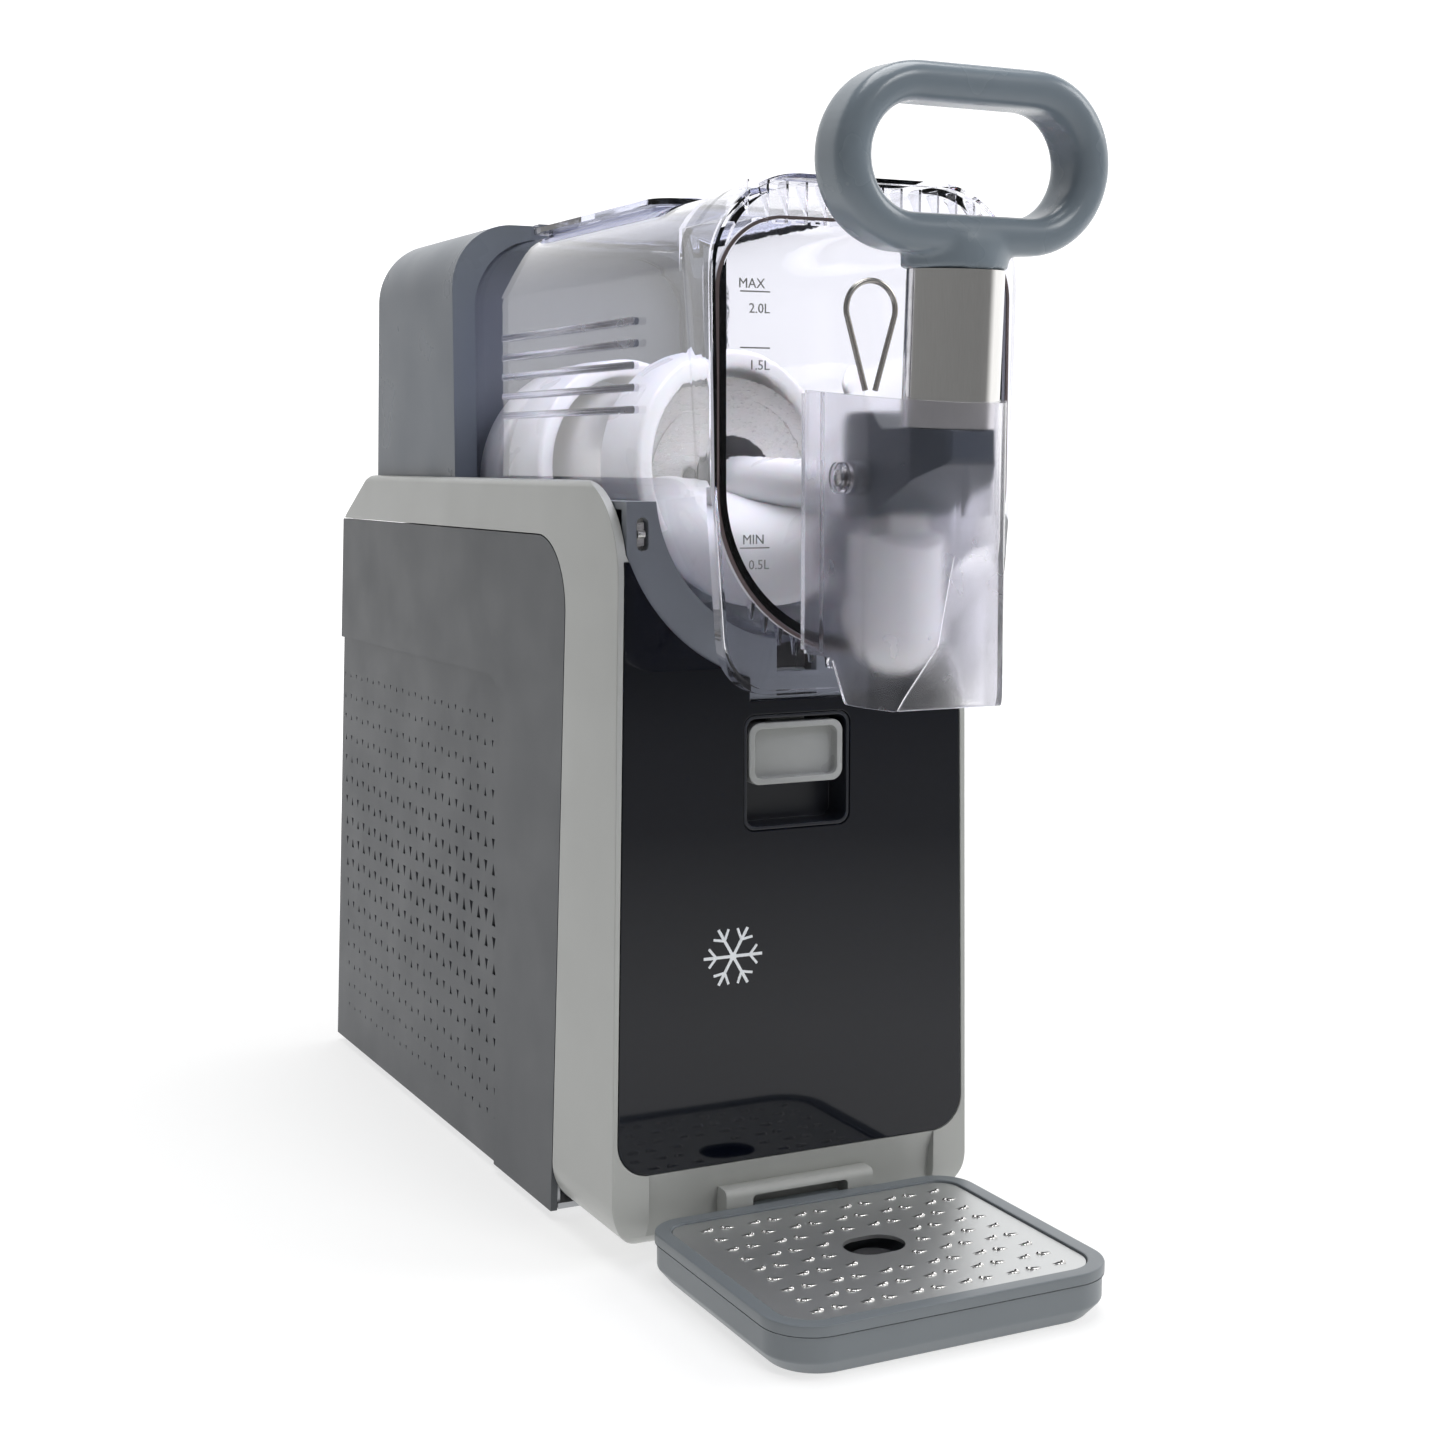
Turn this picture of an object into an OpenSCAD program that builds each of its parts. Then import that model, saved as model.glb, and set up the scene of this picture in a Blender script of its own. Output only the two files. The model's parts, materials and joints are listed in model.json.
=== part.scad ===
// Home slush machine: a clear freezing tank over a horizontal chilled drum, on a slim floor-standing
// cabinet with a drip tray, a lever valve and a loop handle.
// Every length is in millimetres. The front points to -Y and the base rests on Z = 0.

/* [Cabinet] */
// Width across the top of the cabinet
body_w_top = 155; // [150:0.5:160]
// Width across the base of the cabinet
body_w_base = 165; // [162:0.5:170]
// Height of the cabinet's side strips
body_h = 311; // [309:0.5:313]
// Depth of the cabinet at its base
body_d = 386; // [380:1:392]
// Depth of the cabinet just under the rear slope
body_d_top = 364; // [360:1:368]
// Thickness of the moulded walls
wall = 3; // [2.4:0.1:3.4]
// Height of the light strip above the side panels
strip_h = 23; // [20:0.5:26]
// Height of the rubber feet
foot_h = 4; // [3:0.5:5]

/* [Vents] */
// Rows of triangular vent holes
vent_rows = 17; // [9:1:17]
// Columns of triangular vent holes
vent_cols = 24; // [12:1:24]
// Side of the largest vent triangle
vent_size = 6.4; // [4:0.2:7]
// Depth of the recess around the vents
vent_sink = 1.6; // [1:0.1:1.8]

/* [Tank] */
// Height of the drum axis
axis_z = 309; // [308:0.5:310]
// Outer radius of the tank's trough
trough_r = 59.5; // [58.5:0.5:60]
// Height of the tank's flat top
tank_top = 420; // [417:0.5:421]
// Wall thickness of the tank
tank_wall = 2.5; // [2:0.1:3]
// Corner radius of the tank's top edges
tank_corner = 32; // [26:1:34]
// Distance of the tank's front flange ahead of the cabinet
tank_reach = 50; // [48:0.5:52]
// Half width of the front flange
flange_w = 64.7; // [64:0.1:66]

/* [Freezing drum] */
// Radius of the chilled drum
drum_r = 44; // [42:0.5:45]
// Where the drum's front face is
drum_front = 64; // [60:1:70]
// Outer radius of the auger
auger_r = 55; // [54:0.5:55.5]
// Pitch of the auger's ribbon
auger_pitch = 106; // [90:1:120]
// Angle the auger is parked at
auger_phase = 290; // [0:5:355]

/* [Dispenser] */
// Height of the lever's pivot
pivot_z = 312.5; // [311:0.5:314]
// Distance of the lever's pivot ahead of the cabinet
pivot_reach = 79.5; // [79:0.5:80]
// Radius of the steel handle tube
tube_r = 17; // [16:0.1:17]
// Forward lean of the handle
lean = 3.1; // [2:0.1:3.5]
// Thickness of the loop handle's bar
grip_t = 13; // [11:0.5:15]
// Depth of the loop handle from front to back
grip_d = 25; // [22:0.5:27]
// Height of the drum outlet
outlet_z = 262; // [260:0.5:264]

/* [Drip tray] */
// Width of the drip tray
tray_w = 144; // [136:1:148]
// Distance of the drip tray's front ahead of the cabinet
tray_reach = 127; // [120:1:128]
// Height of the drip tray
tray_h = 20; // [19:0.5:21]

/* [View] */
// Part to draw

/* [Hidden] */
$fn = 96;
base_z = foot_h;
loop_y = 2.6;
mid_y = (body_d - 134) / 2;
flare = atan((body_w_base - body_w_top) / 2 / body_h);
strip_z = body_h - strip_h;
rear_lean = atan((body_d - body_d_top) / (strip_z - base_z));
column_w = 71;
column_top = 427;
lip_front = 205;
bulk_y = 226;
drum_rear = bulk_y;
shaft_r = 6;
face_y = -tank_reach;
cap_t = 3.5;
grip_z = 90;
shroud_w = 26.5;
foot_spots = [[-48, 34], [48, 34], [-62, 350], [62, 350]];

// ---- helpers ----

function half_w(z) = (body_w_top + (body_w_base - body_w_top) * (body_h - z) / body_h) / 2;
function unit(v) = v / norm(v);
function half_angle(a, p, b) = acos(unit(a - p) * unit(b - p)) / 2;
function mirrored(pts) = concat(pts, [for (i = [len(pts) - 1:-1:0]) [-pts[i][0], pts[i][1]]]);
function doubled(r) = concat(r, [for (i = [len(r) - 1:-1:0]) r[i]]);

module in_frame()
    translate([0, -mid_y, 0]) children();

// Convex outline with a true arc at each corner
module rounded(pts, rad) {
    n = len(pts);
    polygon([for (i = [0:n - 1]) each
        let (a = pts[(i + n - 1) % n], p = pts[i], b = pts[(i + 1) % n], t = rad[i] / tan(half_angle(a, p, b)))
        rad[i] > 0 ? [p + unit(a - p) * t, p + unit(b - p) * t] : [p]]);
    for (i = [0:n - 1])
        if (rad[i] > 0)
            let (a = pts[(i + n - 1) % n], p = pts[i], b = pts[(i + 1) % n])
            translate(p + unit(unit(a - p) + unit(b - p)) * rad[i] / sin(half_angle(a, p, b)))
            circle(rad[i]);
}

// Outline in X and Z, drawn out along Y
module along_y(y0, y1)
    translate([0, y1, 0]) rotate([90, 0, 0]) linear_extrude(y1 - y0) children();

// Outline in Y and Z, drawn out along X
module along_x(x0, x1)
    translate([x0, 0, 0]) rotate([90, 0, 90]) linear_extrude(x1 - x0) children();

module rod_x(r, x0, x1, y, z)
    translate([x0, y, z]) rotate([0, 90, 0]) cylinder(r = r, h = x1 - x0);

module rod_y(r, y0, y1, x, z)
    translate([x, y1, z]) rotate([90, 0, 0]) cylinder(r = r, h = y1 - y0);

module rod_z(r, z0, z1, x, y)
    translate([x, y, z0]) cylinder(r = r, h = z1 - z0);

module box(x0, x1, y0, y1, z0, z1)
    translate([x0, y0, z0]) cube([x1 - x0, y1 - y0, z1 - z0]);

// Rounded rectangle from corner to corner
module slab(x0, x1, y0, y1, r)
    rounded([[x0, y0], [x1, y0], [x1, y1], [x0, y1]], [r, r, r, r]);

// ---- cabinet ----

module body_side(t)
    rounded([[t, base_z + t], [body_d - t, base_z + t], [body_d_top - t, strip_z - 0.4 * t],
        [320 - 0.3 * t, body_h - t], [t, body_h - t]], [18 - t, 8 - t, 10 - t, 12 - t, 38 - t]);

module body_front(t)
    rounded(mirrored([[half_w(base_z) - t, base_z + t], [half_w(body_h) - t, body_h - t]]),
        doubled([22 - t, 3.4 - t]));

module body_block(t)
    intersection() {
        along_x(-100, 100) body_side(t);
        along_y(-5, 400) body_front(t);
    }

module panel_outline(g)
    rounded([[65 - g, base_z - 3 * g], [body_d + 3 * g, base_z - 3 * g], [body_d_top + 3 * g, strip_z + g],
        [52 - g, strip_z + g]], [0, 0, 0, 30 + g]);

module vent_zone()
    rounded([[134, base_z - 2], [body_d + 4, base_z - 2], [body_d_top + 8, 225], [127, 225]], [0, 0, 0, 16]);

module vent_triangles() {
    step_y = 226 / (vent_cols - 1);
    step_z = 180 / (vent_rows - 1);
    for (row = [0:vent_rows - 1])
        for (col = [0:vent_cols - 1])
            let (mid = abs(row - (vent_rows - 1) / 2) / (vent_rows / 2), back = col / vent_cols,
                s = vent_size * (1 - 0.6 * mid) * (1 - 0.25 * back), turn = (row + col) % 2 * 180)
            translate([137 + col * step_y + row * 0.25, 25 + row * step_z]) rotate(turn)
            polygon([[-0.36 * s, -0.5 * s], [0.36 * s, -0.5 * s], [0, 0.5 * s]]);
}

// Flat side panel, its outer face on X = 0
module side_panel() {
    along_x(-wall, -vent_sink)
        difference() {
            panel_outline(0);
            vent_triangles();
        }
    along_x(-vent_sink, 0)
        difference() {
            panel_outline(0);
            vent_zone();
        }
}

module side_panel_left()
    color("#6f7479")
    in_frame()
    mirror([1, 0, 0])
    translate([half_w(0), 0, 0])
    rotate([0, -flare, 0])
    side_panel();

module side_panel_right()
    color("#6f7479")
    in_frame()
    translate([half_w(0), 0, 0])
    rotate([0, -flare, 0])
    side_panel();

module cradle_cut(g)
    intersection() {
        union() {
            translate([0, axis_z]) circle(78.2 + g);
            translate([-21 - g, 224.6 - g]) square([42 + 2 * g, 60]);
            translate([-90, axis_z]) square([180, 30]);
        }
        translate([-73.7 - g, 200]) square([147.4 + 2 * g, 140]);
    }

module front_outline(g)
    difference() {
        rounded(mirrored([[79.6 + g, 37 - g], [74.6 + g, 300]]), doubled([14, 0]));
        cradle_cut(0.3 - g);
        translate([0, 290]) square([200, 20], center = true);
    }

module latch_outline(g)
    slab(-24 - g, 24 + g, 172 - g, 218.3 + g, 5);

module trim_shell()
    color("#bcbfbb")
    in_frame()
    difference() {
        body_block(0);
        intersection() {
            body_block(wall);
            union() {
                box(-100, 100, 6, 400, 40, 400);
                box(-100, 100, 14, 400, 0, 41);
            }
        }
        along_x(-100, 100) panel_outline(0.4);
        box(-60.4, 60.4, 14, 66, 0, 12);
        box(-79.2, 79.2, 64.6, 400, 0, 12);
        along_y(-1, 3.2) front_outline(0.25);
        along_y(-1, 20) cradle_cut(0.3);
        along_y(-1, 20) latch_outline(0.3);
        box(-74, 74, 6, 326, 290, 320);
        rod_x(46, -66, 66, -41.5, 18);
    }

module front_panel()
    color("#101420")
    in_frame()
    difference() {
        along_y(0, 3) front_outline(0);
        along_y(-1, 4) latch_outline(0.15);
    }

module front_mark()
    color("#e8ecee")
    in_frame()
    translate([-29, 0, 122])
    rotate([90, 0, 0])
    linear_extrude(0.3)
    union() {
        for (a = [0:60:300])
            rotate(a) {
                translate([0, -0.6]) square([13, 1.2]);
                for (s = [-1, 1])
                    translate([7.5, 0]) rotate(s * 50) translate([0, -0.5]) square([5, 1]);
            }
        circle(1.6);
    }

module rear_panel()
    color("#6f7479")
    in_frame()
    translate([0, body_d - 0.6, base_z])
    rotate([rear_lean, 0, 0])
    difference() {
        along_y(-2.6, 0)
            rounded(mirrored([[half_w(base_z) - wall - 1, 0.6], [half_w(strip_z) - wall - 0.8, strip_z - base_z - 2]]),
                doubled([4, 4]));
        for (row = [0:8])
            for (s = [-1, 1])
                along_y(-4, 1) slab(s * 32 - 22, s * 32 + 22, 60 + row * 14, 64 + row * 14, 1.9);
        along_y(-4, 1) translate([38, 16]) square([28.4, 20.4]);
        along_y(-4, 1) translate([-58, 18]) square([21.4, 15.4]);
    }

module rear_screws()
    color("#8d9194")
    in_frame()
    translate([0, body_d - 0.6, base_z])
    rotate([rear_lean, 0, 0])
    for (s = [-1, 1])
        for (z = [8, 270])
            difference() {
                rod_y(3.4, 0, 1.6, s * 70, z);
                box(s * 70 - 2.4, s * 70 + 2.4, 0.9, 3, z - 0.4, z + 0.4);
                box(s * 70 - 0.4, s * 70 + 0.4, 0.9, 3, z - 2.4, z + 2.4);
            }

module base_pan()
    color("#4a4d51")
    in_frame()
    difference() {
        union() {
            box(-60, 60, 14.3, 66.1, base_z, base_z + 2.5);
            box(-78.6, 78.6, 66, 380, base_z, base_z + 2.5);
            for (s = [-1, 1])
                box(s * 77.7 - 0.9, s * 77.7 + 0.9, 68, 372, base_z + 2.4, base_z + 12);
        }
        for (p = foot_spots)
            rod_z(3, 0, 12, p[0], p[1]);
        for (row = [0:6])
            translate([0, 230 + row * 12, 0]) linear_extrude(12) slab(-40, 40, -2, 2, 1.9);
    }

module feet()
    color("#26282b")
    in_frame()
    for (p = foot_spots) {
        rod_z(9, 0, base_z, p[0], p[1]);
        rod_z(2.9, base_z - 0.1, base_z + 3.6, p[0], p[1]);
    }

// ---- tank latch ----

module latch_pocket()
    color("#14171d")
    in_frame()
    difference() {
        along_y(0.3, 16) latch_outline(0);
        along_y(-1, 14.4) slab(-22.5, 22.5, 173.5, 216.8, 4);
        box(-8.4, 8.4, 8.4, 13.6, 210, 220);
    }

module tank_latch()
    color("#b4b7b4")
    in_frame() {
        difference() {
            along_y(1, 8) slab(-21.3, 21.3, 190, 215, 5);
            along_y(0, 5.5) slab(-18.6, 18.6, 192.6, 212.4, 3.4);
        }
        box(-8, 8, 7.9, 13.2, 206, 215);
        box(-8, 8, 9, 13.2, 214.9, 235.6);
    }

module tank_cradle()
    color("#85898d")
    in_frame()
    difference() {
        union() {
            along_y(1.5, 6)
                difference() {
                    cradle_cut(0);
                    translate([0, axis_z]) circle(61.5);
                    translate([-100, 303]) square([200, 40]);
                }
            along_y(5.9, 224)
                intersection() {
                    difference() {
                        translate([0, axis_z]) circle(64.5);
                        translate([0, axis_z]) circle(61.5);
                    }
                    translate([-80, 240]) square([160, 63]);
                }
            for (s = [-1, 1])
                box(s * 67.6 - 6.1, s * 67.6 + 6.1, 5.9, 224, 300, 303);
        }
        box(-9, 9, 0, 24, 235.2, 250);
        along_y(0, 8) slab(-69.5, -64.5, 284, 297, 2.4);
    }

module interlock_catch()
    color("#a9acae")
    in_frame() {
        box(-71.5, -64.8, 6, 7.2, 282, 299);
        box(-68.6, -65.6, 3.4, 6.1, 286, 295);
        rod_x(1.6, -68.6, -65.6, 3.4, 290.5);
    }

// ---- rear column and bulkhead ----

module arch(w, z0, top, r)
    rounded(mirrored([[w, z0], [w, top]]), doubled([0, r]));

module tank_outline(g)
    union() {
        translate([0, axis_z]) circle(trough_r + g);
        arch(trough_r + g, axis_z, tank_top + g, tank_corner + g);
    }

module column_side()
    polygon([[lip_front, 303.3], [324.5, 303.3], [314, column_top + 1], [lip_front, column_top + 1]]);

module rear_column()
    color("#79828a")
    in_frame()
    difference() {
        intersection() {
            along_y(lip_front, 330) arch(column_w, 303.3, column_top, 30);
            along_x(-90, 90) column_side();
        }
        along_y(lip_front - 1, bulk_y + 6.3) tank_outline(0.7);
        intersection() {
            along_y(bulk_y + 6, 330) arch(column_w - 3, 300, column_top - 3, 27);
            along_x(-90, 90) translate([-3, 0]) column_side();
        }
        box(-62, 62, bulk_y + 6, 321, 300, 306);
    }

module bulkhead()
    color("#3b3f44")
    in_frame()
    difference() {
        along_y(bulk_y, bulk_y + 6)
            union() {
                tank_outline(0.4);
                translate([-column_w + 0.3, 243]) square([2 * column_w - 0.6, 60.3]);
            }
        rod_y(7.5, bulk_y - 1, bulk_y + 7, 0, axis_z);
        for (s = [-1, 1])
            rod_y(4, bulk_y - 1, bulk_y + 7, s * 14, 276);
    }

module bulkhead_seal()
    color("#6a6f75")
    in_frame()
    along_y(bulk_y - 1.6, bulk_y)
    difference() {
        tank_outline(-0.1);
        tank_outline(-tank_wall + 0.1);
    }

// ---- freezing drum, shaft and auger ----

module drum_shell()
    color("#c9ccce")
    in_frame()
    difference() {
        rod_y(drum_r, drum_front, drum_rear, 0, axis_z);
        rod_y(drum_r - 1.2, drum_front - 1, drum_rear + 1, 0, axis_z);
    }

module drum_end()
    color("#c6c6c0")
    in_frame()
    difference() {
        union() {
            rod_y(drum_r, drum_front - 2.5, drum_front, 0, axis_z);
            rod_y(drum_r - 1.3, drum_front - 0.1, drum_front + 6, 0, axis_z);
        }
        rod_y(drum_r - 4, drum_front + 2, drum_front + 7, 0, axis_z);
        rod_y(20, drum_front - 3, drum_front - 1, 0, axis_z);
        rod_y(7.5, drum_front - 3, drum_front + 7, 0, axis_z);
        difference() {
            rod_y(36.2, drum_front - 3, drum_front - 1.8, 0, axis_z);
            rod_y(35.4, drum_front - 4, drum_front, 0, axis_z);
        }
    }

module drum_coil()
    color("#b87345")
    in_frame()
    for (i = [0:9])
        translate([0, drum_front + 22 + i * 14, axis_z]) rotate([90, 0, 0])
        rotate_extrude() translate([37.5, 0]) circle(3.2);

module shaft_sleeve()
    color("#9da2a6")
    in_frame()
    difference() {
        rod_y(10, drum_front + 2.2, bulk_y, 0, axis_z);
        rod_y(7.5, drum_front, bulk_y + 1, 0, axis_z);
    }

module shaft_seal()
    color("#1c1e22")
    in_frame()
    difference() {
        union() {
            rod_y(19.7, drum_front - 4, drum_front - 1, 0, axis_z);
            rod_y(12.5, drum_front - 6, drum_front - 3.9, 0, axis_z);
        }
        rod_y(shaft_r + 0.3, drum_front - 7, drum_front, 0, axis_z);
    }

module drive_shaft()
    color("#b9bdc0")
    in_frame()
    union() {
        rod_y(shaft_r, -8, bulk_y + 26, 0, axis_z);
        rod_y(3.5, -26, -7.9, 0, axis_z);
    }

module ribbon_sector(a)
    difference() {
        circle(auger_r - 0.3);
        circle(auger_r - 7.2);
        for (s = [-1, 1])
            rotate(s * a / 2) translate([-200, s > 0 ? 0 : -400]) square([400, 400]);
    }

module auger_ribbon()
    color("#f1f2f1")
    in_frame() {
        difference() {
            rod_y(auger_r, 188, 214, 0, axis_z);
            rod_y(auger_r - 7.5, 187, 215, 0, axis_z);
        }
        translate([0, 188.5, axis_z])
        rotate([90, auger_phase, 0])
        linear_extrude(height = 128, twist = -128 / auger_pitch * 360, slices = 64)
        ribbon_sector(118);
    }

module auger_blades()
    color("#f1f2f1")
    in_frame()
    difference() {
        union() {
            translate([0, 60.4, axis_z])
            rotate([90, auger_phase + 62, 0])
            linear_extrude(height = 96.2, twist = -75, slices = 24)
            difference() {
                translate([-auger_r, -2.5]) square([2 * auger_r, 5]);
                for (s = [-1, 1])
                    translate([s * 14 - 4, -10]) square([8, 6]);
            }
            rod_y(11, -36, 56, 0, axis_z);
        }
        rod_y(shaft_r + 0.05, -40, 70, 0, axis_z);
        rod_y(21, 55.5, 62, 0, axis_z);
    }

module auger_nut()
    color("#d9dbdc")
    in_frame()
    difference() {
        union() {
            rod_y(8, -42, -36.1, 0, axis_z);
            translate([0, -38, axis_z]) rotate([90, 0, 0]) cylinder(r = 11, h = 5, $fn = 6);
        }
        rod_y(3.55, -40, -30, 0, axis_z);
    }

module gearbox()
    color("#a4a8ab")
    in_frame()
    difference() {
        union() {
            rod_y(30, bulk_y + 6, bulk_y + 34, 0, axis_z);
            for (a = [45:90:315])
                rod_y(5, bulk_y + 6, bulk_y + 34, 31 * cos(a), axis_z + 31 * sin(a));
        }
        rod_y(shaft_r + 0.06, bulk_y, bulk_y + 27, 0, axis_z);
    }

module gear_motor()
    color("#54585c")
    in_frame() {
        rod_y(26, bulk_y + 34, bulk_y + 76, 0, axis_z + 6);
        rod_y(9, bulk_y + 76, bulk_y + 82, 0, axis_z + 6);
    }

// ---- cooling circuit ----

module compressor()
    color("#2b2d30")
    in_frame()
    translate([8, 110, 0]) {
        rotate_extrude() rounded([[0, 20], [46, 20], [46, 142], [0, 142]], [0, 22, 22, 0]);
        translate([0, 0, 14]) linear_extrude(4) slab(-56, 56, -44, 44, 10);
        rod_z(30, 17.9, 22, 0, 0);
        rod_z(3.2, 138, 152, -18, 10);
        rod_z(3.2, 138, 152, 6, -12);
    }

module compressor_mounts()
    color("#1b1c1e")
    in_frame()
    for (sx = [-1, 1])
        for (sy = [-1, 1])
            rod_z(7, base_z + 2.5, 14, 8 + sx * 46, 110 + sy * 34);

module condenser()
    color("#a9adb0")
    in_frame() {
        difference() {
            box(-73, -52, 212, 342, base_z + 2.5, 150);
            for (i = [0:15])
                box(-80, -40, 217 + i * 7.8, 220.2 + i * 7.8, 20, 144);
        }
        for (i = [0:4])
            rod_y(3, 209, 345, -62.5, 31 + i * 25);
    }

module fan_shroud()
    color("#2c2f33")
    in_frame()
    difference() {
        union() {
            box(-52, -48.6, 212, 342, base_z + 2.5, 150);
            difference() {
                rod_x(60, -49, -32, 277, 82);
                rod_x(57, -53, -31, 277, 82);
            }
            for (a = [0:90:270])
                translate([0, 277, 82]) rotate([a, 0, 0]) box(-32.1, -29, -4, 4, 0, 59);
            rod_x(22, -32.1, -29, 277, 82);
        }
        rod_x(57, -55, -48, 277, 82);
        rod_x(2.6, -33, -28, 277, 82);
    }

module fan_blade()
    color("#d7dadc")
    in_frame()
    translate([-41, 277, 82])
    rotate([0, 90, 0]) {
        difference() {
            cylinder(r = 17, h = 14, center = true);
            translate([0, 0, 2]) cylinder(r = 2, h = 14, center = true);
        }
        for (a = [0:60:300])
            rotate(a)
            translate([33, 0, 0])
            rotate([28, 0, 0])
            cube([36, 22, 1.8], center = true);
    }

module fan_motor()
    color("#6d7175")
    in_frame() {
        rod_x(24, -29, -4, 277, 82);
        rod_x(1.96, -40.9, -29, 277, 82);
    }

module filter_dryer()
    color("#b87345")
    in_frame() {
        rod_z(9, 60, 120, 58, 200);
        rod_z(3, base_z + 2.5, 60, 58, 200);
        rod_z(2, 120, 132, 58, 200);
    }

// Pipe with brazed ball elbows through a list of points, each leg along one axis
module pipe(pts, r)
    for (i = [0:len(pts) - 2])
        let (a = pts[i], d = pts[i + 1] - pts[i])
        translate(a) {
            rotate(d[0] != 0 ? [0, 90 * sign(d[0]), 0] : d[1] != 0 ? [-90 * sign(d[1]), 0, 0] : [d[2] < 0 ? 180 : 0, 0, 0])
            cylinder(r = r, h = norm(d));
            if (i > 0)
                sphere(r = r + 0.8);
        }

module discharge_pipe()
    color("#b87345")
    in_frame()
    pipe([[-10, 120, 152], [-10, 120, 178], [-10, 230, 178], [-62, 230, 178], [-62, 230, 150]], 3);

module suction_pipe()
    color("#b87345")
    in_frame()
    pipe([[14, 98, 152], [14, 98, 222], [14, 240, 222], [14, 240, 276], [14, 218, 276]], 3);

module control_board()
    color("#2f6b46")
    in_frame() {
        box(68, 70, 240, 340, 170, 250);
        for (i = [0:3])
            box(56, 68, 248 + i * 22, 262 + i * 22, 180, 198);
        rod_x(6, 54, 68, 258, 232);
        rod_x(6, 54, 68, 276, 232);
        box(60, 68, 292, 332, 215, 240);
        for (y = [246, 334])
            for (z = [174, 246])
                rod_x(2.4, 70, 75.2, y, z);
    }

module display_board()
    color("#2f6b46")
    in_frame() {
        box(-36, 36, 10, 11.6, 90, 150);
        for (i = [0:4])
            rod_y(2.4, 6, 10, -24 + i * 12, 134);
        box(-20, 20, 11.6, 17, 100, 112);
    }

module power_inlet()
    color("#18191b")
    in_frame()
    translate([0, body_d - 0.6, base_z])
    rotate([rear_lean, 0, 0])
    difference() {
        union() {
            along_y(0, 2) slab(34, 70.4, 12, 40.4, 3);
            along_y(-18, 0.1) slab(38.2, 66.2, 16.2, 36.2, 2.6);
        }
        along_y(-15, 3) slab(40.6, 63.8, 18.4, 34, 2.2);
    }

module power_rocker()
    color("#232528")
    in_frame()
    translate([0, body_d - 0.6, base_z])
    rotate([rear_lean, 0, 0])
    difference() {
        intersection() {
            rod_x(14, -56.9, -37.7, -9.8, 25.7);
            along_y(-5.5, 5) slab(-56.9, -37.7, 19.5, 31.9, 0.6);
        }
        box(-60, -30, -8, -3.5, 25.2, 26.2);
    }

// ---- tank ----

module flange_outline(g)
    rounded(mirrored([[58.3 + g, 232.5 - g], [63.2 + g, 300], [flange_w + g, 380], [flange_w + g, 421.5 + g]]),
        doubled([20, 0, 0, 36 + g]));

module cap_outline(g)
    union() {
        translate([0, axis_z]) circle(61 + g);
        arch(61 + g, axis_z, 405 + g, 26 + g);
    }

module lid_opening(g)
    slab(-38 - g, 38 + g, 46 - g, 178 + g, 10);

module tank_shell()
    color([0.86, 0.86, 0.94, 0.4])
    in_frame()
    difference() {
        union() {
            difference() {
                union() {
                    along_y(face_y + 3, bulk_y - 1.8) tank_outline(0);
                    intersection() {
                        along_y(face_y + 3, -16) flange_outline(0);
                        linear_extrude(500)
                            polygon([[-trough_r, -16], [trough_r, -16], [flange_w - 0.3, face_y + 3],
                                [-flange_w + 0.3, face_y + 3]]);
                        box(-80, 80, -60, 0, axis_z, 430);
                    }
                }
                along_y(face_y - 5, bulk_y) tank_outline(-tank_wall);
                intersection() {
                    along_y(face_y, -16) flange_outline(-tank_wall);
                    linear_extrude(500)
                        polygon([[-trough_r + tank_wall, -16], [trough_r - tank_wall, -16],
                            [flange_w - 3, face_y], [-flange_w + 3, face_y]]);
                    box(-80, 80, -60, 0, axis_z, 404);
                }
            }
            along_y(face_y, face_y + 3.1)
                difference() {
                    flange_outline(0);
                    tank_outline(-tank_wall);
                }
            along_y(face_y - 4, face_y + 0.1)
                difference() {
                    flange_outline(0);
                    flange_outline(-1.6);
                    cap_outline(1.5);
                }
            for (s = [-1, 1])
                box(s * 30 - 5, s * 30 + 5, 187, 197, tank_top - 1, tank_top + 6);
            box(-7, 7, 8, 16, 236, 251);
        }
        translate([0, 0, tank_top - 10]) linear_extrude(20) lid_opening(0);
        rod_x(1.6, -40, 40, 192, tank_top + 3.2);
        box(-7.2, 7.2, 0, 7.9, 240, 249);
    }

module front_gasket()
    color("#4a3f44")
    in_frame()
    along_y(face_y - 3, face_y)
    difference() {
        cap_outline(1.4);
        cap_outline(0.15);
    }

module front_cap()
    color([0.9, 0.9, 0.96, 0.5])
    in_frame()
    difference() {
        union() {
            along_y(face_y - cap_t, face_y) cap_outline(0);
            rod_y(13, face_y - 7.4, face_y - cap_t + 0.1, 0, outlet_z);
        }
        rod_y(9.5, face_y - 8, face_y + 1, 0, outlet_z);
    }

module filler_lid()
    color([0.75, 0.77, 0.9, 0.5])
    in_frame()
    difference() {
        union() {
            translate([0, 0, tank_top + 0.2]) linear_extrude(2.4) lid_opening(4);
            translate([0, 0, tank_top - 2]) linear_extrude(2.3)
                difference() {
                    lid_opening(-0.6);
                    lid_opening(-2.6);
                }
            translate([0, 0, tank_top + 2.5]) linear_extrude(3) slab(-22, 22, 62, 84, 6);
            box(-24.6, 24.6, 180, 192, tank_top + 0.2, tank_top + 2.6);
            rod_x(3, -24.6, 24.6, 192, tank_top + 3.2);
        }
        rod_x(1.68, -40, 40, 192, tank_top + 3.2);
        translate([0, 0, tank_top + 3.8]) linear_extrude(3) slab(-19, 19, 65, 81, 4);
    }

module lid_pin()
    color("#b0b3b5")
    in_frame()
    rod_x(1.6, -34.9, 34.9, 192, tank_top + 3.2);

// ---- dispenser ----

function shroud_pts(t) = [[shroud_w - t, -53.8], [shroud_w - 0.9 - t, -96], [21.4 - 1.05 * t, -114 + 0.5 * t],
    [8.6 - 0.6 * t, -132.4 + t]];

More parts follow.
